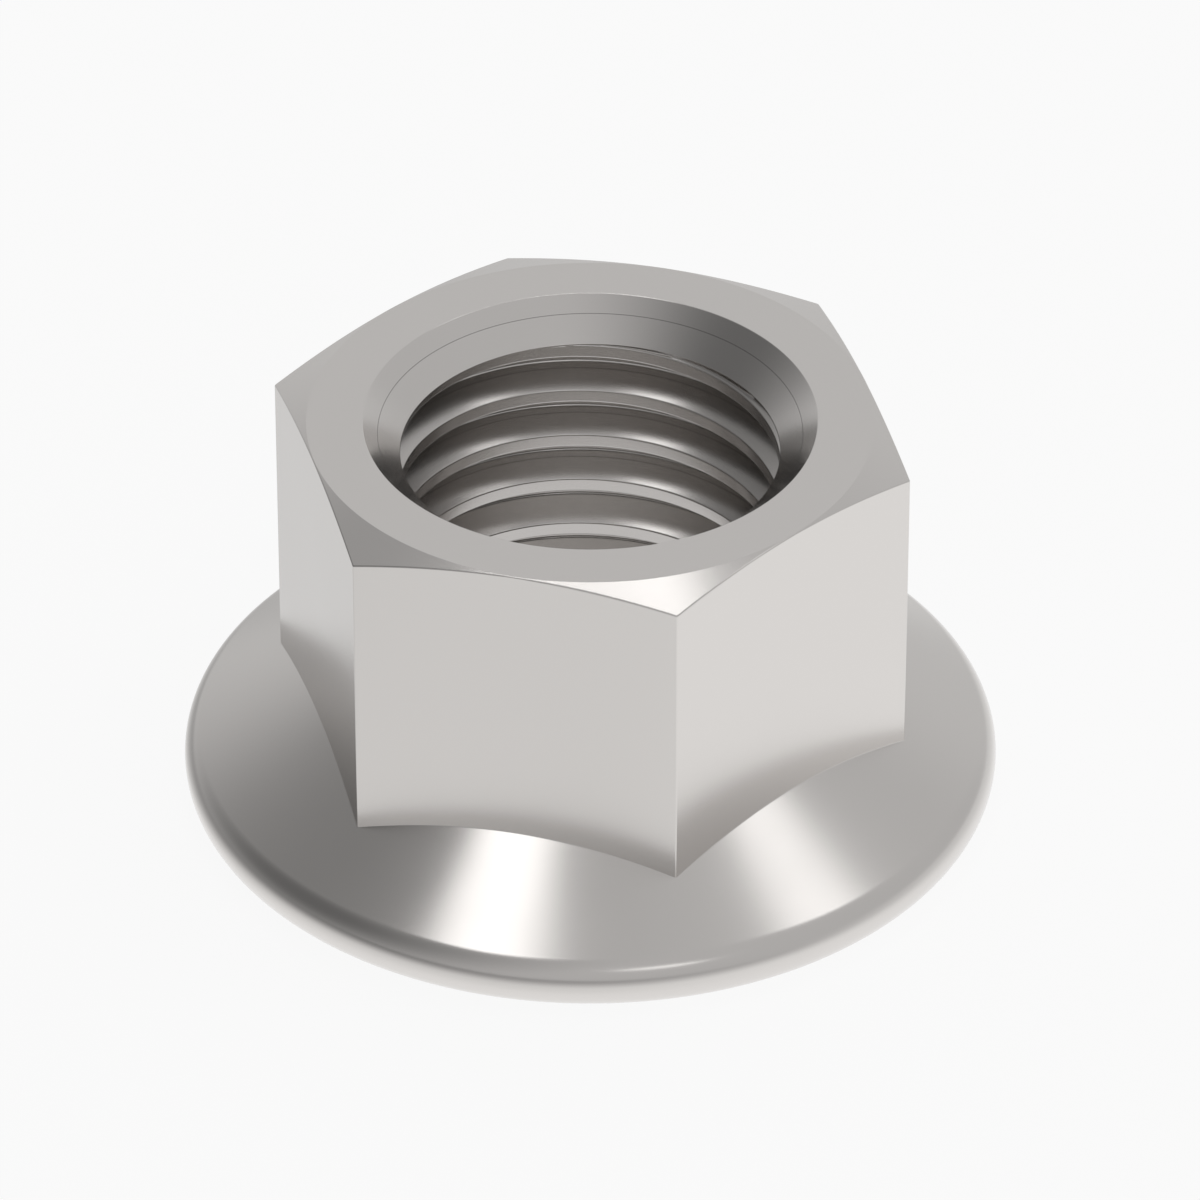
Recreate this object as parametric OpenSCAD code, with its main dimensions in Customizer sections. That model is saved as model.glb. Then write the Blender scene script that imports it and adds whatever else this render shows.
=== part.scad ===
// Prevailing-torque hexagon nut with a flange, turned and formed from one piece of steel.
// Reduced 13 mm hexagon on an M10 fine thread. The nut stands on its bearing face at z = 0,
// its thread runs along Z, and two of its six corners point along +X and -X.

/* [Hexagon] */
// Width across the flats of the hexagon
across_flats = 13; // [12.5:0.1:14]
// Total height, from the bearing face to the top face
nut_height = 9.9; // [8:0.1:14]
// Slope of the chamfer that cuts the six corners at the top, from the horizontal
corner_chamfer_angle = 20; // [15:1:30]

/* [Flange] */
// Width of the flange over its rounded rim
flange_diameter = 18.9; // [18:0.1:20]
// Radius of the full round that forms the rim of the flange
rim_radius = 0.74; // [0.5:0.02:0.9]
// Slope of the flange's conical top, from the horizontal
flange_slope = 29; // [25:1:32]

/* [Thread] */
// Diameter of the bore over the crests of the thread
crest_diameter = 8.68; // [8.4:0.02:9]
// Diameter of the countersink where it meets the top face and the bearing face
countersink_diameter = 10.38; // [9.4:0.02:10.8]
// Full angle of both countersinks
countersink_angle = 90; // [60:5:120]

/* [Hidden] */

// Number of sides that stand for a round shape
round_sides = 192;
// How far a cutting shape reaches past the face that it cuts
past_face = 1;

rim_center_radius = flange_diameter / 2 - rim_radius;
rim_tangent_radius = rim_center_radius + rim_radius * sin(flange_slope);
rim_tangent_height = rim_radius + rim_radius * cos(flange_slope);
countersink_depth =
    (countersink_diameter - crest_diameter) / 2 / tan(countersink_angle / 2);

// Hexagonal body, with its corners cut by a cone that starts at the top face's edge
module hexagon() {
    corner_radius = across_flats / 2 / cos(30);
    cone_radius = across_flats / 2 + nut_height / tan(corner_chamfer_angle);
    intersection() {
        cylinder(h = nut_height, r = corner_radius, $fn = 6);
        cylinder(h = nut_height, r1 = cone_radius, r2 = across_flats / 2, $fn = round_sides);
    }
}

// Round flange: a cone that runs into a full round at the rim, on a flat bearing face
module flange() {
    cone_top_radius = across_flats / 4;
    cone_top_height =
        rim_tangent_height + (rim_tangent_radius - cone_top_radius) * tan(flange_slope);
    rotate_extrude($fn = round_sides) {
        polygon([
            [0, 0],
            [rim_center_radius, 0],
            [rim_center_radius, rim_radius],
            [rim_tangent_radius, rim_tangent_height],
            [cone_top_radius, cone_top_height],
            [0, cone_top_height],
        ]);
        translate([rim_center_radius, rim_radius]) circle(r = rim_radius, $fn = 64);
    }
}

// Tapered mouth of the bore, opening upwards from the crests to the face at z = 0
module countersink() {
    widening = past_face * tan(countersink_angle / 2);
    translate([0, 0, -countersink_depth])
        cylinder(
            h = countersink_depth + past_face,
            r1 = crest_diameter / 2,
            r2 = countersink_diameter / 2 + widening,
            $fn = round_sides
        );
}

// Bore at the thread's crests, with a countersink at each end
module bore() {
    translate([0, 0, -past_face])
        cylinder(h = nut_height + 2 * past_face, d = crest_diameter, $fn = round_sides);
    translate([0, 0, nut_height]) countersink();
    mirror([0, 0, 1]) countersink();
}

module nut() {
    color([0.72, 0.71, 0.69])
        difference() {
            union() {
                hexagon();
                flange();
            }
            bore();
        }
}

nut();
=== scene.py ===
"""Looks of a hexagon lock nut with a flange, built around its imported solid, in metres."""

from math import atan2, cos, degrees, hypot, pi, radians, sin, tan

import bpy
from bpy.props import FloatProperty, FloatVectorProperty, IntProperty, PointerProperty
from bpy.types import Operator, Panel, PropertyGroup
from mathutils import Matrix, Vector


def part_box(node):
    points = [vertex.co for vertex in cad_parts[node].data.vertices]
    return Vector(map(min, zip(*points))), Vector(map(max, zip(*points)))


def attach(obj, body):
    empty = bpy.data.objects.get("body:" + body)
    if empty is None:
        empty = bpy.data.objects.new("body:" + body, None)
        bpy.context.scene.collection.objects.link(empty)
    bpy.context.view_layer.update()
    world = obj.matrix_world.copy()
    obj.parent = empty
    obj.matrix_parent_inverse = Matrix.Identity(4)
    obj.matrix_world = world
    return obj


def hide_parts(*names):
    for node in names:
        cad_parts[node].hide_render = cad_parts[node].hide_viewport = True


bl_info = {
    "name": "Flange lock nut",
    "version": (1, 0, 0),
    "blender": (4, 5, 0),
    "location": "3D View > Sidebar > Flange Nut",
    "description": "Builds a steel flange lock nut with its thread, and a pale studio around it",
    "category": "Object",
}

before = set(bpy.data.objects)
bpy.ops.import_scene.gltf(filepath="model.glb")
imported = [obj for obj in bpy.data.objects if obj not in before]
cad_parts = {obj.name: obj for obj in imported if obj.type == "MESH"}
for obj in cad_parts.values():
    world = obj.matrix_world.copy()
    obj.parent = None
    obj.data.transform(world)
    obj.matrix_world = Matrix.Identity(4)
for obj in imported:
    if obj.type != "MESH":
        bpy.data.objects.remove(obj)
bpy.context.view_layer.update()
NUT_LOW, NUT_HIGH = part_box("nut")

MM = 0.001
HEX_SIDES = 6

# Directions in which a surface faces, in degrees up from straight out of the nut's axis
UP = 90
TOP_SINK = 135
INWARD = 180
LOWER_FLANK = 240

# Slopes from the horizontal of the thread's flanks, and of the cones that close its groove at both ends
FLANK_SLOPE = radians(30)
RUN_IN_SLOPE = radians(30)
# Depth of the cut over which the shading turns from that of the thread to that of the cone
RUN_IN_FADE = 0.08 * MM

# Rounding of the lips where the countersinks meet the thread, and height of the plain strip beside each
LIP_ROUND = 0.03 * MM
LIP_STRIP = 0.02 * MM

# Steps of the mesh in a small rounding, where the chamfer starts, in its lower edge and around the rim
ROUND_STEPS = 3
CHAMFER_STEPS = 2
EDGE_STEPS = 5
RIM_STEPS = 26
# Rows on the flange's cone and on the thread's flanks, as shares of the way across
CONE_SHARES = (0.35, 0.7)
FLANK_SHARES = (0.25, 0.35, 0.45, 0.55, 0.65, 0.75)
# Points of the shell and the thread that are closer than this are the same
MERGE_DISTANCE = 0.001 * MM
# A row counts as moved, or as on the lip, from this distance and below this one
LEAST_MOVE = 0.000001 * MM
ON_LIP = 0.0001 * MM
# Faces in a column of the finished mesh, at the least, when the thread is in it
LEAST_ROWS = 100
# A face shades flat where the cosine between its own normal and the wanted one is below this
FLAT_BELOW = 0.8

# The steel's skin: scales of its patterns, per metre
PATCH_SCALE = 220.0
GRAIN_SCALE = 9000.0
TURNING_SCALE = 14000.0
# Darkest share of the steel's colour in its patches, and the share kept by the painted dark line, a
# painted shade in place of a fine groove in the countersink
PATCH_SHADE = 0.965
PAINTED_LINE_SHADE = 0.5
# Change of the roughness, up and down, over this span of the patches' pattern
PATCH_ROUGHNESS = 0.02
PATCH_SPAN = (0.3, 0.7)
# Height of the turning marks against the grain, and how strong and deep both are
TURNING_SHARE = 0.6
SKIN_STRENGTH = 0.012
SKIN_DEPTH = 0.004 * MM

# Half the side of the square floor, in metres
FLOOR_HALF = 1.5
# Brightness of the floor that the nut mirrors, where 1 is white. Around the nut it rises from the back
# left to the front right, along NEAR_TURN, which holds shares of the camera's right and away.
NEAR_TURN = (0.94, -0.34)
NEAR_LEFT_SPAN = (-12 * MM, -4 * MM)
NEAR_LEFT_LEVELS = (0.77, 0.865)
NEAR_RIGHT_SPAN = (1 * MM, 11 * MM)
NEAR_RIGHT_RISE = 0.135
# Under the nut it is white, painted light where a real floor would lie in the nut's shadow, but for the
# part below the bore, which is darker as a painted shadow of the nut. These are distances from the axis.
CONTACT_SPAN = (9.5 * MM, 10.6 * MM)
BORE_SHADOW_SPAN = (4.5 * MM, 7 * MM)
BORE_SHADOW_LEVEL = 0.85
# Far away it is brightest at the back and at the right
FAR_LEVEL = 0.5
FAR_RIGHT = 0.228
FAR_AWAY = 0.155
# From near to far, by how flat the floor is seen, where 1 is edge on
GRAZING_SPAN = (0.45, 1.0)
# Share of plain white in the floor that the camera sees. The rest is lit, and shows the nut's shadow.
WHITE_SHARE = 0.9

# The room's dark side: its bearing and rise in degrees, and the angles from there over which it turns pale
DARK_BEARING = -93
DARK_RISE = 31.2
DARK_SPAN = (radians(7.5), radians(75))
# The back of the room is a little brighter, over these cosines from straight away
BACK_SPAN = (0.51, 0.83)
BACK_EXTRA = 0.083

# Each lamp: name, bearing to the right of the camera's forward direction, rise, half its width and
# height as seen from the nut, all in degrees, and its radiance
LAMPS = (
    ("lamp_over_left", 246, 74.5, (9.6, 7.7), 1.55),
    ("lamp_over_right", 78.7, 58.8, (7.6, 7.2), 1.04),
    ("lamp_front", 160, 36, (10, 3.5), 0.9),
    ("lamp_over_back", 1.5, 72.1, (12, 3), 3.05),
)
LAMP_DISTANCE = 400 * MM

# The point that the camera looks at: its height, and how far it is to the right of the axis
AIM_HEIGHT = 4.844 * MM
AIM_RIGHT = 0.224 * MM
# In millimetres, as lenses are given
SENSOR_WIDTH = 36


class NutSizes(PropertyGroup):
    """Sizes of the nut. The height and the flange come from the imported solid."""

    across_flats: FloatProperty(
        name="Across flats", description="Width of the hexagon across its flats",
        default=13 * MM, unit="LENGTH",
    )
    height: FloatProperty(
        name="Height", description="From the bearing face to the top face",
        default=NUT_HIGH.z - NUT_LOW.z, unit="LENGTH",
    )
    flange_diameter: FloatProperty(
        name="Flange diameter", description="Width of the flange over its rounded rim",
        default=NUT_HIGH.y - NUT_LOW.y, unit="LENGTH",
    )
    rim_radius: FloatProperty(
        name="Rim radius", description="Radius of the full round at the flange's rim",
        default=0.74 * MM, unit="LENGTH",
    )
    flange_slope: FloatProperty(
        name="Flange slope", description="Slope of the flange's conical top from the horizontal",
        default=radians(29), subtype="ANGLE",
    )
    chamfer_slope: FloatProperty(
        name="Chamfer slope", description="Slope of the corner chamfer from the horizontal",
        default=radians(20), subtype="ANGLE",
    )
    chamfer_diameter: FloatProperty(
        name="Chamfer diameter", description="Circle on the top face where the chamfer starts",
        default=12.94 * MM, unit="LENGTH",
    )
    countersink_diameter: FloatProperty(
        name="Countersink diameter", description="Mouth of the 90 degree countersinks",
        default=10.38 * MM, unit="LENGTH",
    )
    edge_round: FloatProperty(
        name="Edge round", description="Rounding that forming leaves on the outer edges",
        default=0.045 * MM, unit="LENGTH",
    )
    mouth_round: FloatProperty(
        name="Mouth round", description="Rounding of the countersinks' edges",
        default=0.04 * MM, unit="LENGTH",
    )


class ThreadSizes(PropertyGroup):
    """Sizes of the right-handed M10 x 1.25 thread."""

    crest_diameter: FloatProperty(
        name="Crest diameter", description="Width of the bore over the thread's crests",
        default=8.68 * MM, unit="LENGTH",
    )
    root_diameter: FloatProperty(
        name="Root diameter", description="Width over the bottoms of the thread's grooves",
        default=10.04 * MM, unit="LENGTH",
    )
    pitch: FloatProperty(
        name="Pitch", description="Rise of the thread in one turn",
        default=1.25 * MM, unit="LENGTH",
    )
    crest_round: FloatProperty(
        name="Crest round", description="Rounding of the crests' edges",
        default=0.05 * MM, unit="LENGTH",
    )
    root_round: FloatProperty(
        name="Root round", description="Rounding at the bottom of the grooves",
        default=0.09 * MM, unit="LENGTH",
    )
    crest_height: FloatProperty(
        name="Crest height", description="Height of the middle of a crest at the corner on +X",
        default=7.22 * MM, unit="LENGTH",
    )
    columns: IntProperty(
        name="Columns", description="Number of steps around the nut, a multiple of twelve",
        default=360, min=120, max=480,
    )


class SteelLook(PropertyGroup):
    """Finish of the steel."""

    colour: FloatVectorProperty(
        name="Steel colour", description="Colour of the bright, slightly warm steel",
        subtype="COLOR", size=3, min=0, max=1, default=(0.711, 0.687, 0.667),
    )
    roughness: FloatProperty(
        name="Roughness", description="Softness of the steel's reflections",
        default=0.205, min=0, max=1, subtype="FACTOR",
    )
    thread_roughness: FloatProperty(
        name="Thread roughness", description="Softness of the reflections in the tapped thread",
        default=0.235, min=0, max=1, subtype="FACTOR",
    )
    # Painted shade: the thread's colour is darkened by this share, as shade in the bore
    thread_painted_shade: FloatProperty(
        name="Thread shade", description="Share of the steel's colour that the tapped thread shows",
        default=0.88, min=0, max=1, subtype="FACTOR",
    )
    # The dark line is painted shade: a thin dark ring in the top countersink's colour, in place of the
    # shade of a fine groove
    painted_line_diameter: FloatProperty(
        name="Tool line diameter", description="Fine dark line that the tool left in the countersink",
        default=9.7 * MM, unit="LENGTH",
    )
    line_width: FloatProperty(
        name="Tool line width", description="Width of that line, seen from above",
        default=0.013 * MM, unit="LENGTH",
    )


class StudioLook(PropertyGroup):
    """Floor, lamps and camera."""

    floor_colour: FloatVectorProperty(
        name="Floor colour", description="Colour of the pale floor",
        subtype="COLOR", size=3, min=0, max=1, default=(0.95, 0.95, 0.95),
    )
    room_level: FloatProperty(
        name="Room level", description="Brightness of the pale room around the nut",
        default=0.58, min=0, max=1,
    )
    dark_level: FloatProperty(
        name="Dark side level", description="Brightness of the room's dark side, at the left",
        default=0.154, min=0, max=1,
    )
    camera_azimuth: FloatProperty(
        name="Camera azimuth", description="Turn of the camera to the right of the nut's front",
        default=radians(15), subtype="ANGLE",
    )
    camera_elevation: FloatProperty(
        name="Camera elevation", description="Height of the camera over the horizon",
        default=radians(35.264), subtype="ANGLE",
    )
    camera_distance: FloatProperty(
        name="Camera distance", description="From the camera to the point that it looks at",
        default=226 * MM, unit="LENGTH",
    )
    camera_lens: FloatProperty(
        name="Lens", description="Focal length on a 36 mm sensor, in millimetres",
        default=293.8,
    )


def add_node(tree, kind, inputs=(), **settings):
    """Adds a node, and gives each input a value or a link from another node's socket."""
    made = tree.nodes.new(kind)
    for name, value in settings.items():
        setattr(made, name, value)
    for key, value in inputs:
        if isinstance(value, bpy.types.NodeSocket):
            tree.links.new(value, made.inputs[key])
        else:
            made.inputs[key].default_value = value
    return made


def calculate(tree, operation, *values):
    """The result of a math node."""
    return add_node(tree, "ShaderNodeMath", enumerate(values), operation=operation).outputs[0]


def add_range(tree, value, source, target):
    """A smooth step of value from one range to another."""
    return add_node(
        tree, "ShaderNodeMapRange",
        [("Value", value), ("From Min", source[0]), ("From Max", source[1]),
         ("To Min", target[0]), ("To Max", target[1])],
        interpolation_type="SMOOTHSTEP",
    ).outputs[0]


def fillet(corner, tilts, radius, steps):
    """Rows that round a corner of an outline.

    corner is (distance from the axis, height), and tilts are the directions in which the
    surfaces before and after it face, in degrees up from straight out. radius is below
    zero in a hollow corner.
    """
    first, last = (radians(t) for t in tilts)
    reach = radius / (1 + cos(last - first))
    middle = (
        corner[0] - reach * (cos(first) + cos(last)),
        corner[1] - reach * (sin(first) + sin(last)),
    )
    rows = []
    for step in range(steps + 1):
        share = step / steps
        tilt = first + (last - first) * share
        rows.append((middle[0] + radius * cos(tilt), middle[1] + radius * sin(tilt), tilt, share))
    return rows


def top_bore_rows(sizes, crest_radius):
    """Rows from the thread's upper end through the top countersink to the top face."""
    mouth = sizes.countersink_diameter / 2
    lip_height = sizes.height - (mouth - crest_radius)
    rows = fillet((crest_radius, lip_height), (INWARD, TOP_SINK), LIP_ROUND, ROUND_STEPS)
    rows += fillet((mouth, sizes.height), (TOP_SINK, UP), sizes.mouth_round, ROUND_STEPS)
    return rows


def outer_rows(sizes, hex_radius):
    """Rows of one column, from the top face down the hexagon and the flange to the bearing face.

    The last value of a row is the share by which its surface faces as the flat does.
    """
    start = sizes.chamfer_diameter / 2
    chamfer_tilt = UP - degrees(sizes.chamfer_slope)
    cone_tilt = UP - degrees(sizes.flange_slope)
    chamfer_width = (hex_radius - start) / cos(sizes.chamfer_slope)
    edge_height = sizes.height - (hex_radius - start) * tan(sizes.chamfer_slope)
    rim_x = sizes.flange_diameter / 2 - sizes.rim_radius
    rim_end = (
        rim_x + sizes.rim_radius * sin(sizes.flange_slope),
        sizes.rim_radius + sizes.rim_radius * cos(sizes.flange_slope),
    )
    foot_height = rim_end[1] + (rim_end[0] - hex_radius) * tan(sizes.flange_slope)

    edge_round = min(sizes.edge_round, chamfer_width)
    rows = [(r, h, t, 0) for r, h, t, _ in
            fillet((start, sizes.height), (UP, chamfer_tilt), edge_round, CHAMFER_STEPS)]
    rows += fillet((hex_radius, edge_height), (chamfer_tilt, 0), edge_round, EDGE_STEPS)
    rows.append((hex_radius, (edge_height + foot_height) / 2, 0, 1))
    rows += [(r, h, t, 1 - share) for r, h, t, share in
             fillet((hex_radius, foot_height), (0, cone_tilt), -sizes.edge_round / 2, ROUND_STEPS)]
    for share in CONE_SHARES:
        radius = hex_radius + (rim_end[0] - hex_radius) * share
        height = rim_end[1] + (rim_end[0] - radius) * tan(sizes.flange_slope)
        rows.append((radius, height, radians(cone_tilt), 0))
    for step in range(RIM_STEPS + 1):
        tilt = radians(cone_tilt + (-UP - cone_tilt) * step / RIM_STEPS)
        rows.append((
            rim_x + sizes.rim_radius * cos(tilt),
            sizes.rim_radius + sizes.rim_radius * sin(tilt),
            tilt, 0,
        ))
    return rows


def bottom_bore_rows(sizes, crest_radius):
    """Rows from the bearing face through the bottom countersink to the thread's lower end."""
    mouth = sizes.countersink_diameter / 2
    lip_height = mouth - crest_radius
    rows = fillet((mouth, 0), (-UP, -TOP_SINK), sizes.mouth_round, ROUND_STEPS)
    rows += fillet((crest_radius, lip_height), (-TOP_SINK, -INWARD), LIP_ROUND, ROUND_STEPS)
    return rows


def hexagon_columns(sizes, columns):
    """Angle, distance from the axis and facing angle of each column around the hexagon."""
    corner_round = sizes.edge_round
    middle = (sizes.across_flats / 2 - corner_round) / cos(pi / HEX_SIDES)
    per_side = columns // HEX_SIDES
    turn = 2 * pi / HEX_SIDES
    found = []
    for side in range(HEX_SIDES):
        corner = 2 * pi * side / HEX_SIDES
        arc = []
        for step in range(-ROUND_STEPS, ROUND_STEPS + 1):
            facing = corner + step / ROUND_STEPS * pi / HEX_SIDES
            arc.append((
                middle * cos(corner) + corner_round * cos(facing),
                middle * sin(corner) + corner_round * sin(facing),
                facing,
            ))
        first = arc[-1]
        last = (
            arc[0][0] * cos(turn) - arc[0][1] * sin(turn),
            arc[0][0] * sin(turn) + arc[0][1] * cos(turn),
        )
        flat_steps = per_side - 2 * ROUND_STEPS
        flat = []
        for step in range(1, flat_steps):
            share = step / flat_steps
            flat.append((
                first[0] + (last[0] - first[0]) * share,
                first[1] + (last[1] - first[1]) * share,
                first[2],
            ))
        found.append((arc, flat))
    ordered = []
    for side, (arc, flat) in enumerate(found):
        next_arc = found[(side + 1) % HEX_SIDES][0]
        ordered += arc[ROUND_STEPS:] + flat + next_arc[:ROUND_STEPS]
    return [(atan2(y, x), hypot(x, y), facing) for x, y, facing in ordered]


def shell_mesh(sizes, thread):
    """The nut's whole surface but for the threaded wall, with the true normal at each point."""
    crest_radius = thread.crest_diameter / 2
    columns = thread.columns
    points = []
    normals = []
    for column, (angle, hex_radius, facing) in enumerate(hexagon_columns(sizes, columns)):
        even = 2 * pi * column / columns
        turn = (facing - angle + pi) % (2 * pi) - pi
        rows = [(even, 0, row) for row in top_bore_rows(sizes, crest_radius)]
        rows += [(angle, turn, row) for row in outer_rows(sizes, hex_radius)]
        rows += [(even, 0, row) for row in bottom_bore_rows(sizes, crest_radius)]
        for where, lean, (radius, height, tilt, share) in rows:
            points.append((radius * cos(where), radius * sin(where), height))
            faces_to = where + lean * share
            normals.append((cos(tilt) * cos(faces_to), cos(tilt) * sin(faces_to), sin(tilt)))
    rows_in_column = len(points) // columns
    faces = []
    for column in range(columns):
        here = column * rows_in_column
        there = (column + 1) % columns * rows_in_column
        for row in range(rows_in_column - 1):
            faces.append((here + row, here + row + 1, there + row + 1, there + row))
    mesh = bpy.data.meshes.new("nut_shell")
    mesh.from_pydata(points, [], faces)
    kept = mesh.attributes.new("true_normal", "FLOAT_VECTOR", "POINT")
    for index, normal in enumerate(normals):
        kept.data[index].vector = normal
    return mesh


def thread_rows(thread, low, high):
    """Rows of the thread's outline from below low to above high, as they stand on +X."""
    crest = thread.crest_diameter / 2
    root = thread.root_diameter / 2
    half_crest = thread.pitch / 8
    half_ridge = half_crest + (root - crest) * tan(FLANK_SLOPE)
    one = fillet((root, -half_ridge), (INWARD, LOWER_FLANK), -thread.root_round, ROUND_STEPS)
    for share in FLANK_SHARES:
        radius = root + (crest - root) * share
        height = -half_ridge + (half_ridge - half_crest) * share
        one.append((radius, height, radians(LOWER_FLANK), 0))
    one += fillet((crest, -half_crest), (LOWER_FLANK, INWARD), thread.crest_round, ROUND_STEPS)
    one += [(radius, -height, 2 * pi - tilt, 0) for radius, height, tilt, _ in reversed(one)]
    one.append((root, thread.pitch / 2, radians(INWARD), 0))
    rows = []
    middle = thread.crest_height
    while middle > low - 2 * thread.pitch:
        middle -= thread.pitch
    while middle < high + thread.pitch:
        rows += [(radius, height + middle, tilt) for radius, height, tilt, _ in one]
        middle += thread.pitch
    return rows


def outline_mesh(rows):
    """A line of points in the XZ plane, with the direction in which the wall faces at each."""
    mesh = bpy.data.meshes.new("thread_outline")
    points = [(radius, 0, height) for radius, height, _ in rows]
    mesh.from_pydata(points, [(i, i + 1) for i in range(len(rows) - 1)], [])
    facing = mesh.attributes.new("facing", "FLOAT_VECTOR", "POINT")
    for index, (_, _, tilt) in enumerate(rows):
        facing.data[index].vector = (cos(tilt), 0, sin(tilt))
    return mesh


def thread_tree():
    """Winds an outline into a right-handed thread and closes the nut's shell with it."""
    tree = bpy.data.node_groups.new("Nut thread", "GeometryNodeTree")
    tree.is_modifier = True
    names = {}
    for name, kind in (
        ("Shell", "NodeSocketGeometry"), ("Outline", "NodeSocketObject"),
        ("Columns", "NodeSocketInt"), ("Pitch", "NodeSocketFloat"),
        ("Crest Radius", "NodeSocketFloat"), ("Crest Height", "NodeSocketFloat"),
        ("Low End", "NodeSocketFloat"), ("High End", "NodeSocketFloat"),
        ("Run-in Slope", "NodeSocketFloat"),
        ("Steel", "NodeSocketMaterial"),
    ):
        names[name] = tree.interface.new_socket(name, in_out="INPUT", socket_type=kind).identifier
    tree.interface.new_socket("Nut", in_out="OUTPUT", socket_type="NodeSocketGeometry")
    given = tree.nodes.new("NodeGroupInput").outputs

    outline = add_node(
        tree, "GeometryNodeObjectInfo", [("Object", given["Outline"])]
    ).outputs["Geometry"]
    rows = add_node(
        tree, "GeometryNodeAttributeDomainSize", [("Geometry", outline)]
    ).outputs["Point Count"]
    across = calculate(tree, "ADD", given["Columns"], 1.0)
    grid = add_node(tree, "GeometryNodeMeshGrid", [("Vertices X", across), ("Vertices Y", rows)])
    sheet = add_node(tree, "GeometryNodeFlipFaces", [("Mesh", grid.outputs["Mesh"])]).outputs[0]

    index = tree.nodes.new("GeometryNodeInputIndex").outputs[0]
    past_index = calculate(tree, "ADD", index, 0.5)
    column = calculate(tree, "FLOOR", calculate(tree, "DIVIDE", past_index, rows))
    row = calculate(tree, "SUBTRACT", index, calculate(tree, "MULTIPLY", column, rows))
    turn = calculate(tree, "DIVIDE", column, given["Columns"])
    angle = calculate(tree, "MULTIPLY", turn, 2 * pi)

    def outline_value(value):
        """The parts of a value at the outline's point that this row is made from."""
        sample = add_node(
            tree, "GeometryNodeSampleIndex",
            [("Geometry", outline), ("Index", row)], data_type="FLOAT_VECTOR",
        )
        tree.links.new(value, sample.inputs["Value"])
        return add_node(tree, "ShaderNodeSeparateXYZ", [(0, sample.outputs[0])]).outputs

    place = outline_value(tree.nodes.new("GeometryNodeInputPosition").outputs[0])
    facing = outline_value(
        add_node(
            tree, "GeometryNodeInputNamedAttribute", [("Name", "facing")], data_type="FLOAT_VECTOR"
        ).outputs["Attribute"]
    )

    # Rows past an end are gathered on the lip there or, within a quarter of the pitch, just inside it.
    low = given["Low End"]
    high = given["High End"]
    quarter = calculate(tree, "MULTIPLY", given["Pitch"], 0.25)
    rise_here = calculate(tree, "MULTIPLY", turn, given["Pitch"])
    wound = calculate(tree, "ADD", place["Z"], rise_here)
    inside = calculate(
        tree, "MINIMUM", calculate(tree, "MAXIMUM", wound, calculate(tree, "ADD", low, LIP_STRIP)),
        calculate(tree, "SUBTRACT", high, LIP_STRIP),
    )
    past_end = calculate(tree, "ABSOLUTE", calculate(tree, "SUBTRACT", wound, inside))
    gathered = calculate(tree, "GREATER_THAN", past_end, LEAST_MOVE)
    past_low = calculate(tree, "LESS_THAN", wound, calculate(tree, "SUBTRACT", low, quarter))
    past_high = calculate(tree, "GREATER_THAN", wound, calculate(tree, "ADD", high, quarter))
    height = add_node(
        tree, "ShaderNodeMix", [(0, past_low), (2, inside), (3, low)], data_type="FLOAT"
    ).outputs[0]
    height = add_node(
        tree, "ShaderNodeMix", [(0, past_high), (2, height), (3, high)], data_type="FLOAT"
    ).outputs[0]
    from_low = calculate(tree, "SUBTRACT", height, low)
    from_high = calculate(tree, "SUBTRACT", high, height)
    nearest_end = calculate(tree, "MINIMUM", from_low, from_high)
    deepest = calculate(tree, "MULTIPLY_ADD", nearest_end, given["Run-in Slope"], given["Crest Radius"])

    # A gathered row takes the radius that the outline has at the height where it now lies.
    above_crest = calculate(
        tree, "SUBTRACT", calculate(tree, "SUBTRACT", inside, given["Crest Height"]), rise_here
    )
    from_crest = calculate(
        tree, "PINGPONG", above_crest, calculate(tree, "MULTIPLY", given["Pitch"], 0.5)
    )
    from_edge = calculate(tree, "SUBTRACT", from_crest, calculate(tree, "MULTIPLY", quarter, 0.5))
    flank = calculate(tree, "MULTIPLY_ADD", from_edge, 1 / tan(FLANK_SLOPE), given["Crest Radius"])
    gathered_radius = calculate(tree, "MAXIMUM", flank, given["Crest Radius"])
    outline_radius = add_node(
        tree, "ShaderNodeMix", [(0, gathered), (2, place["X"]), (3, gathered_radius)],
        data_type="FLOAT",
    ).outputs[0]
    radius = calculate(tree, "MINIMUM", outline_radius, deepest)
    spot = add_node(tree, "ShaderNodeCombineXYZ", [("X", radius), ("Z", height)]).outputs[0]
    spot = add_node(
        tree, "ShaderNodeVectorRotate", [("Vector", spot), ("Angle", angle)], rotation_type="Z_AXIS"
    ).outputs[0]
    placed = add_node(
        tree, "GeometryNodeSetPosition", [("Geometry", sheet), ("Position", spot)]
    ).outputs[0]

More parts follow.
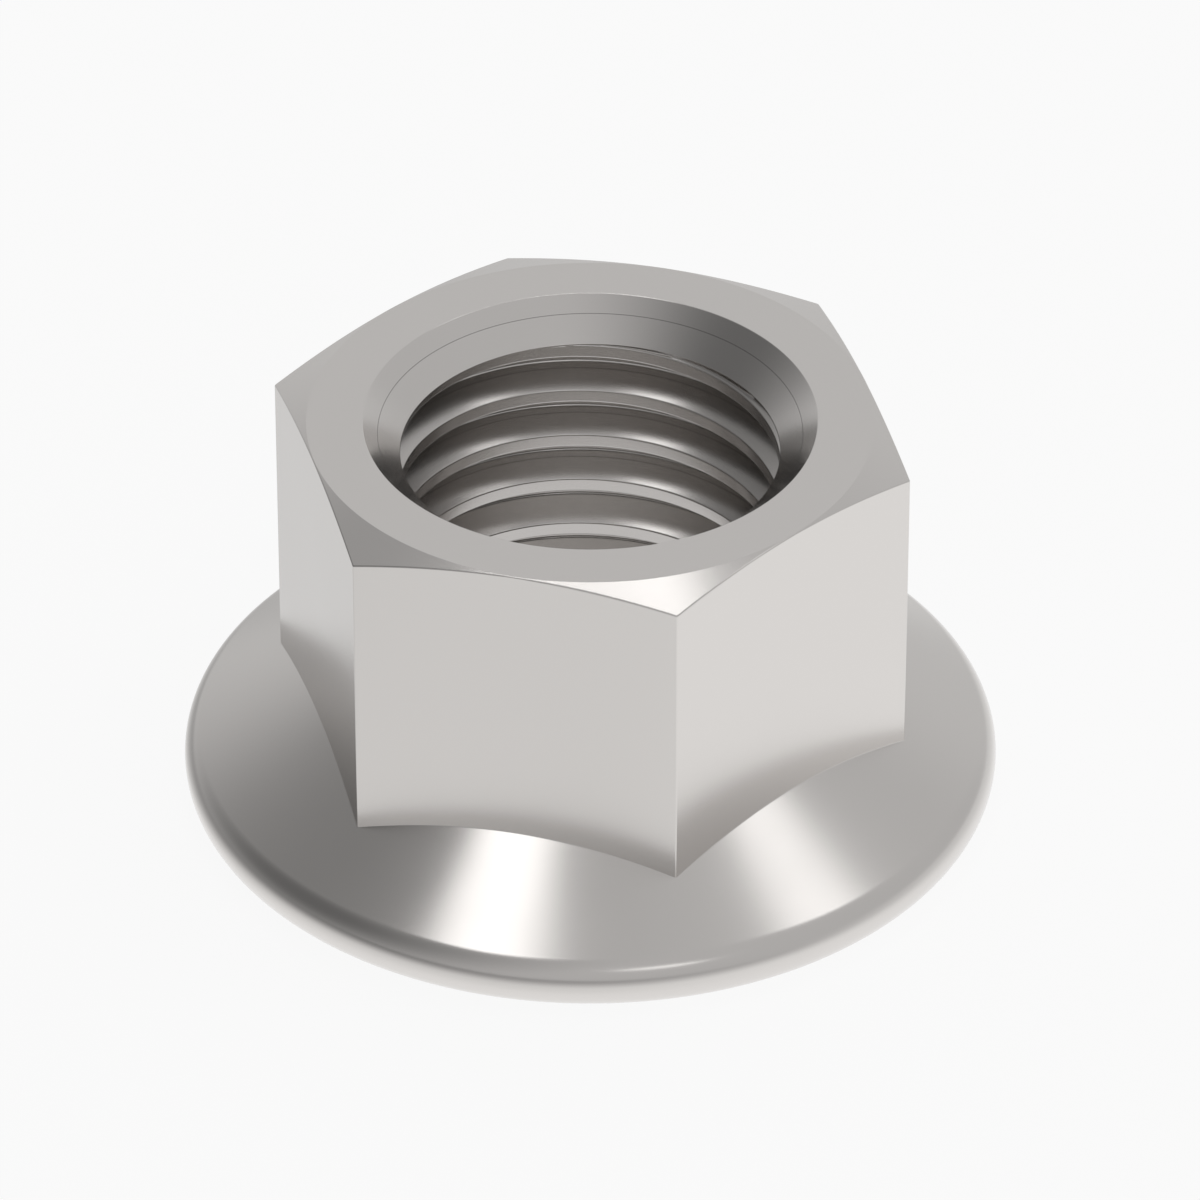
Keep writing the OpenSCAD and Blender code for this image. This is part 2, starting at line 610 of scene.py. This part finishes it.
    rise = calculate(tree, "DIVIDE", given["Pitch"], calculate(tree, "MULTIPLY", place["X"], -2 * pi))
    lean = calculate(tree, "MULTIPLY", rise, facing["Z"])
    wall_facing = add_node(
        tree, "ShaderNodeCombineXYZ", [("X", facing["X"]), ("Y", lean), ("Z", facing["Z"])]
    ).outputs[0]
    end_side = calculate(tree, "SIGN", calculate(tree, "SUBTRACT", from_high, from_low))
    end_z = calculate(tree, "MULTIPLY", end_side, given["Run-in Slope"])
    end_facing = add_node(tree, "ShaderNodeCombineXYZ", [("X", -1.0), ("Z", end_z)]).outputs[0]
    cut_depth = calculate(tree, "SUBTRACT", outline_radius, deepest)
    at_end = add_range(tree, cut_depth, (0, RUN_IN_FADE), (0, 1))
    chosen = add_node(
        tree, "ShaderNodeMix", [(0, gathered), (4, wall_facing), (5, (-1, 0, 0))], data_type="VECTOR"
    ).outputs[1]
    chosen = add_node(
        tree, "ShaderNodeMix", [(0, at_end), (4, chosen), (5, end_facing)], data_type="VECTOR"
    ).outputs[1]
    on_lip = calculate(tree, "LESS_THAN", nearest_end, ON_LIP)
    chosen = add_node(
        tree, "ShaderNodeMix", [(0, on_lip), (4, chosen), (5, (-1, 0, 0))], data_type="VECTOR"
    ).outputs[1]
    chosen = add_node(tree, "ShaderNodeVectorMath", [(0, chosen)], operation="NORMALIZE").outputs[0]
    chosen = add_node(
        tree, "ShaderNodeVectorRotate", [("Vector", chosen), ("Angle", angle)], rotation_type="Z_AXIS"
    ).outputs[0]
    wall = add_node(
        tree, "GeometryNodeStoreNamedAttribute",
        [("Geometry", placed), ("Name", "true_normal"), ("Value", chosen)],
        data_type="FLOAT_VECTOR", domain="POINT",
    ).outputs[0]

    # Corners shade by the true normals, but flat where the mesh's small faces turn away from them.
    join = tree.nodes.new("GeometryNodeJoinGeometry")
    tree.links.new(given["Shell"], join.inputs[0])
    tree.links.new(wall, join.inputs[0])
    closed = add_node(
        tree, "GeometryNodeMergeByDistance",
        [("Geometry", join.outputs[0]), ("Distance", MERGE_DISTANCE)],
    ).outputs[0]
    smooth = add_node(tree, "GeometryNodeSetShadeSmooth", [("Geometry", closed)]).outputs[0]
    true_normal = add_node(
        tree, "GeometryNodeInputNamedAttribute", [("Name", "true_normal")], data_type="FLOAT_VECTOR"
    ).outputs["Attribute"]
    face_normal = add_node(
        tree, "GeometryNodeFieldOnDomain", data_type="FLOAT_VECTOR", domain="FACE"
    )
    own_normal = tree.nodes.new("GeometryNodeInputNormal").outputs["Normal"]
    tree.links.new(own_normal, face_normal.inputs[0])
    likeness = add_node(
        tree, "ShaderNodeVectorMath", [(0, true_normal), (1, face_normal.outputs[0])],
        operation="DOT_PRODUCT",
    ).outputs["Value"]
    smooth_here = calculate(tree, "GREATER_THAN", likeness, FLAT_BELOW)
    kept_normal = add_node(
        tree, "ShaderNodeMix", [(0, smooth_here), (4, face_normal.outputs[0]), (5, true_normal)],
        data_type="VECTOR",
    ).outputs[1]
    shaded = add_node(
        tree, "GeometryNodeSetMeshNormal", [("Mesh", smooth)], mode="FREE", domain="CORNER"
    )
    tree.links.new(kept_normal, shaded.inputs["Custom Normal"])
    real = add_node(tree, "GeometryNodeRealizeInstances", [("Geometry", shaded.outputs[0])]).outputs[0]
    steel = add_node(
        tree, "GeometryNodeSetMaterial", [("Geometry", real), ("Material", given["Steel"])]
    ).outputs[0]
    add_node(tree, "NodeGroupOutput", [(0, steel)])
    return tree, names


def steel_material(look, bore_radius, low, high):
    """Bright steel with a satin skin: faint turning marks, soft patches and a fine grain.

    It is a little duller in the thread, within bore_radius and from low to high, and darker there with
    painted shade.
    """
    material = bpy.data.materials.new("nut_steel")
    material.use_nodes = True
    tree = material.node_tree
    shader = tree.nodes["Principled BSDF"]
    shader.inputs["Metallic"].default_value = 1.0
    place = add_node(tree, "ShaderNodeTexCoord").outputs["Object"]
    patches = add_node(
        tree, "ShaderNodeTexNoise", [("Vector", place), ("Scale", PATCH_SCALE), ("Detail", 3.0)]
    ).outputs["Fac"]
    grain = add_node(
        tree, "ShaderNodeTexNoise", [("Vector", place), ("Scale", GRAIN_SCALE), ("Detail", 2.0)]
    ).outputs["Fac"]
    parts = add_node(tree, "ShaderNodeSeparateXYZ", [(0, place)]).outputs
    flat_place = add_node(
        tree, "ShaderNodeCombineXYZ", [("X", parts["X"]), ("Y", parts["Y"])]
    ).outputs[0]
    radius = add_node(
        tree, "ShaderNodeVectorMath", [(0, flat_place)], operation="LENGTH"
    ).outputs["Value"]
    ring_place = add_node(
        tree, "ShaderNodeCombineXYZ", [("X", radius), ("Z", parts["Z"])]
    ).outputs[0]
    rings = add_node(
        tree, "ShaderNodeTexNoise",
        [("Vector", ring_place), ("Scale", TURNING_SCALE), ("Detail", 2.0)],
    ).outputs["Fac"]

    full = tuple(look.colour) + (1,)
    darker = tuple(PATCH_SHADE * part for part in look.colour) + (1,)
    tint = add_node(
        tree, "ShaderNodeMix",
        [(0, patches), (6, darker), (7, full)], data_type="RGBA",
    ).outputs[2]
    in_bore = calculate(
        tree, "MULTIPLY", calculate(tree, "LESS_THAN", radius, bore_radius),
        calculate(tree, "COMPARE", parts["Z"], (low + high) / 2, (high - low) / 2),
    )
    # Painted shade in the bore: the steel's colour there is multiplied by this share
    shaded = (look.thread_painted_shade,) * 3 + (1,)
    tint = add_node(
        tree, "ShaderNodeMix", [(0, in_bore), (6, tint), (7, shaded)],
        data_type="RGBA", blend_type="MULTIPLY",
    ).outputs[2]
    # Painted shade: a thin dark ring in the top countersink, in place of a fine groove's shade
    on_painted_line = calculate(tree, "COMPARE", radius, look.painted_line_diameter / 2, look.line_width / 2)
    at_top = calculate(tree, "GREATER_THAN", parts["Z"], NUT_HIGH.z / 2)
    line = calculate(tree, "MULTIPLY", on_painted_line, at_top)
    painted_line_colour = tuple(PAINTED_LINE_SHADE * part for part in look.colour) + (1,)
    tint = add_node(
        tree, "ShaderNodeMix",
        [(0, line), (6, tint), (7, painted_line_colour)], data_type="RGBA",
    ).outputs[2]
    tree.links.new(tint, shader.inputs["Base Color"])
    satin = calculate(
        tree, "MULTIPLY_ADD", in_bore, look.thread_roughness - look.roughness, look.roughness
    )
    patchy = add_node(
        tree, "ShaderNodeMapRange",
        [("Value", patches), ("From Min", PATCH_SPAN[0]), ("From Max", PATCH_SPAN[1]),
         ("To Min", -PATCH_ROUGHNESS), ("To Max", PATCH_ROUGHNESS)],
    ).outputs[0]
    tree.links.new(calculate(tree, "ADD", satin, patchy), shader.inputs["Roughness"])
    skin = calculate(tree, "MULTIPLY_ADD", rings, TURNING_SHARE, grain)
    bump = add_node(
        tree, "ShaderNodeBump",
        [("Height", skin), ("Strength", SKIN_STRENGTH), ("Distance", SKIN_DEPTH)],
    ).outputs[0]
    tree.links.new(bump, shader.inputs["Normal"])
    return material


def floor_material(look):
    """Pale matt floor that shows near white and keeps the nut's shadow."""
    material = bpy.data.materials.new("pale_floor")
    material.use_nodes = True
    tree = material.node_tree
    tree.nodes.clear()
    rays = tree.nodes.new("ShaderNodeLightPath").outputs
    seen = calculate(tree, "MAXIMUM", rays["Is Camera Ray"], rays["Is Glossy Ray"])
    seen = calculate(tree, "MAXIMUM", seen, rays["Is Transmission Ray"])
    matt = add_node(
        tree, "ShaderNodeBsdfDiffuse", [("Color", tuple(look.floor_colour) + (1,))]
    ).outputs[0]
    place = add_node(tree, "ShaderNodeTexCoord").outputs["Object"]
    right, away, _ = camera_axes(look)
    across = add_node(
        tree, "ShaderNodeVectorMath",
        [(0, place), (1, right * NEAR_TURN[0] + away * NEAR_TURN[1])],
        operation="DOT_PRODUCT",
    ).outputs["Value"]
    distance = add_node(
        tree, "ShaderNodeVectorMath", [(0, place)], operation="LENGTH"
    ).outputs["Value"]
    outward = add_node(tree, "ShaderNodeVectorMath", [(0, place)], operation="NORMALIZE").outputs[0]
    left_side = add_range(tree, across, NEAR_LEFT_SPAN, NEAR_LEFT_LEVELS)
    right_side = add_range(tree, across, NEAR_RIGHT_SPAN, (0, NEAR_RIGHT_RISE))
    side = calculate(tree, "ADD", left_side, right_side)
    near = add_range(tree, distance, CONTACT_SPAN, (1.0, side))
    # Below the bore the mirrored floor is darker: a painted shadow of the nut
    painted_bore_shadow = add_range(tree, distance, BORE_SHADOW_SPAN, (BORE_SHADOW_LEVEL, 1.0))
    near = calculate(tree, "MULTIPLY", near, painted_bore_shadow)
    lean = add_node(
        tree, "ShaderNodeVectorMath",
        [(0, outward), (1, right * FAR_RIGHT + away * FAR_AWAY)],
        operation="DOT_PRODUCT",
    ).outputs["Value"]
    far = calculate(tree, "ADD", lean, FAR_LEVEL)
    facing = add_node(tree, "ShaderNodeLayerWeight").outputs["Facing"]
    # The floor glows at these levels in the steel's reflections, as painted light shaped for them
    mirrored = add_range(tree, facing, GRAZING_SPAN, (near, far))
    level = add_node(
        tree, "ShaderNodeMix", [(0, rays["Is Camera Ray"]), (2, mirrored), (3, 1.0)],
        data_type="FLOAT",
    ).outputs[0]
    white = add_node(tree, "ShaderNodeEmission", [("Strength", level)]).outputs[0]
    matt_share = add_node(
        tree, "ShaderNodeMix", [(0, rays["Is Camera Ray"]), (2, 1.0), (3, WHITE_SHARE)],
        data_type="FLOAT",
    ).outputs[0]
    share = calculate(tree, "MULTIPLY", seen, matt_share)
    mixed = add_node(tree, "ShaderNodeMixShader", [(0, share), (1, matt), (2, white)]).outputs[0]
    add_node(tree, "ShaderNodeOutputMaterial", [("Surface", mixed)])
    return material


def camera_axes(look):
    """Right, away along the floor, and forward, as the camera sees them."""
    turn = look.camera_azimuth
    rise = look.camera_elevation
    right = Vector((cos(turn), sin(turn), 0))
    away = Vector((-sin(turn), cos(turn), 0))
    forward = away * cos(rise) - Vector((0, 0, sin(rise)))
    return right, away, forward


def aim_at(look, bearing, rise):
    """A direction at a bearing to the right of where the camera looks, and a rise."""
    right, away, _ = camera_axes(look)
    level = right * sin(radians(bearing)) + away * cos(radians(bearing))
    return level * cos(radians(rise)) + Vector((0, 0, sin(radians(rise))))


def add_lamp(look, name, bearing, rise, size, strength):
    """An oval soft lamp that faces the nut. The size is half its width and height, in degrees."""
    direction = aim_at(look, bearing, rise)
    lamp = bpy.data.lights.new(name, "AREA")
    lamp.shape = "ELLIPSE"
    lamp.size = 2 * LAMP_DISTANCE * tan(radians(size[0]))
    lamp.size_y = 2 * LAMP_DISTANCE * tan(radians(size[1]))
    area = pi * lamp.size * lamp.size_y / 4
    lamp.energy = strength * pi * area
    holder = bpy.data.objects.new(name, lamp)
    holder.location = direction * LAMP_DISTANCE
    holder.rotation_euler = direction.to_track_quat("Z", "Y").to_euler()
    bpy.context.scene.collection.objects.link(holder)


def add_room(look):
    """A pale room that is darker to the camera's left, as a black card would make it."""
    world = bpy.data.worlds.new("pale_room")
    bpy.context.scene.world = world
    world.use_nodes = True
    tree = world.node_tree
    _, away, _ = camera_axes(look)
    dark = aim_at(look, DARK_BEARING, DARK_RISE)
    direction = add_node(tree, "ShaderNodeTexCoord").outputs["Generated"]
    towards = add_node(
        tree, "ShaderNodeVectorMath", [(0, direction), (1, dark)], operation="DOT_PRODUCT"
    ).outputs["Value"]
    backwards = add_node(
        tree, "ShaderNodeVectorMath", [(0, direction), (1, away)], operation="DOT_PRODUCT"
    ).outputs["Value"]
    angle = calculate(tree, "ARCCOSINE", towards)
    room = add_range(tree, angle, DARK_SPAN, (look.dark_level, look.room_level))
    back = add_range(tree, backwards, BACK_SPAN, (0, BACK_EXTRA))
    strength = calculate(tree, "ADD", room, back)
    background = tree.nodes["Background"]
    background.inputs["Color"].default_value = (1, 1, 1, 1)
    tree.links.new(strength, background.inputs["Strength"])


class FLANGENUT_OT_nut(Operator):
    """Build the nut: its hexagon, flange, countersinks and thread, as one closed steel mesh"""

    bl_idname = "flange_nut.nut"
    bl_label = "Nut"

    def execute(self, context):
        sizes = context.scene.nut_sizes
        thread = context.scene.nut_thread
        crest_radius = thread.crest_diameter / 2
        low = bottom_bore_rows(sizes, crest_radius)[-1][1]
        high = top_bore_rows(sizes, crest_radius)[0][1]

        rows = thread_rows(thread, low, high)
        outline = bpy.data.objects.new("thread_outline", outline_mesh(rows))
        context.scene.collection.objects.link(outline)
        just_past_root = 1.01 * thread.root_diameter / 2
        steel = steel_material(context.scene.nut_steel, just_past_root, low, high)
        shell = bpy.data.objects.new("nut_shell", shell_mesh(sizes, thread))
        context.scene.collection.objects.link(shell)

        tree, names = thread_tree()
        winding = shell.modifiers.new("Thread", "NODES")
        winding.node_group = tree
        for name, value in (
            ("Outline", outline), ("Columns", thread.columns), ("Pitch", thread.pitch),
            ("Crest Radius", crest_radius), ("Crest Height", thread.crest_height),
            ("Low End", low), ("High End", high),
            ("Run-in Slope", 1 / tan(RUN_IN_SLOPE)), ("Steel", steel),
        ):
            winding[names[name]] = value
        graph = context.evaluated_depsgraph_get()
        mesh = bpy.data.meshes.new_from_object(shell.evaluated_get(graph), depsgraph=graph)
        shell.modifiers.remove(winding)
        for spare in (shell, outline):
            bpy.data.objects.remove(spare)
        mesh.name = "flange_lock_nut"
        mesh.materials.clear()
        mesh.materials.append(steel)
        nut = bpy.data.objects.new("flange_lock_nut", mesh)
        context.scene.collection.objects.link(nut)
        if len(mesh.polygons) < thread.columns * LEAST_ROWS:
            raise RuntimeError("the nut's mesh came back without its thread")
        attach(nut, "root")
        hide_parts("nut")
        return {"FINISHED"}


class FLANGENUT_OT_studio(Operator):
    """Build the studio: pale floor, pale room, soft lamps and the camera"""

    bl_idname = "flange_nut.studio"
    bl_label = "Studio"

    def execute(self, context):
        look = context.scene.nut_studio
        half = FLOOR_HALF
        mesh = bpy.data.meshes.new("floor")
        corners = [(-half, -half, 0), (half, -half, 0), (half, half, 0), (-half, half, 0)]
        mesh.from_pydata(corners, [], [(0, 1, 2, 3)])
        mesh.materials.append(floor_material(look))
        floor = bpy.data.objects.new("floor", mesh)
        context.scene.collection.objects.link(floor)

        add_room(look)
        for lamp in LAMPS:
            add_lamp(look, *lamp)

        right, _, forward = camera_axes(look)
        aim = Vector((0, 0, AIM_HEIGHT)) + right * AIM_RIGHT
        lens = bpy.data.cameras.new("camera")
        lens.lens = look.camera_lens
        lens.sensor_width = SENSOR_WIDTH
        lens.clip_start = 10 * MM
        lens.clip_end = 50
        camera = bpy.data.objects.new("camera", lens)
        camera.location = aim - forward * look.camera_distance
        camera.rotation_euler = forward.to_track_quat("-Z", "Y").to_euler()
        context.scene.collection.objects.link(camera)
        context.scene.camera = camera
        context.scene.view_settings.view_transform = "Standard"
        return {"FINISHED"}


class FLANGENUT_PT_panel(Panel):
    """Buttons for each part of the scene"""

    bl_label = "Flange nut"
    bl_idname = "FLANGENUT_PT_panel"
    bl_space_type = "VIEW_3D"
    bl_region_type = "UI"
    bl_category = "Flange Nut"

    def draw(self, context):
        for group in ("nut_sizes", "nut_thread", "nut_steel", "nut_studio"):
            box = self.layout.box()
            values = getattr(context.scene, group)
            for name in values.__annotations__:
                box.prop(values, name)
        for operator in (FLANGENUT_OT_nut, FLANGENUT_OT_studio):
            self.layout.operator(operator.bl_idname)


GROUPS = {
    "nut_sizes": NutSizes, "nut_thread": ThreadSizes,
    "nut_steel": SteelLook, "nut_studio": StudioLook,
}
CLASSES = (*GROUPS.values(), FLANGENUT_OT_nut, FLANGENUT_OT_studio, FLANGENUT_PT_panel)


def register():
    """Adds the classes, and the property groups to the scene."""
    for kind in CLASSES:
        bpy.utils.register_class(kind)
    for name, group in GROUPS.items():
        setattr(bpy.types.Scene, name, PointerProperty(type=group))


def unregister():
    """Takes the property groups and the classes out again."""
    for name in GROUPS:
        delattr(bpy.types.Scene, name)
    for kind in reversed(CLASSES):
        bpy.utils.unregister_class(kind)


def main():
    """Builds the scene."""
    register()
    bpy.ops.flange_nut.nut()
    bpy.ops.flange_nut.studio()


if __name__ == "__main__":
    main()
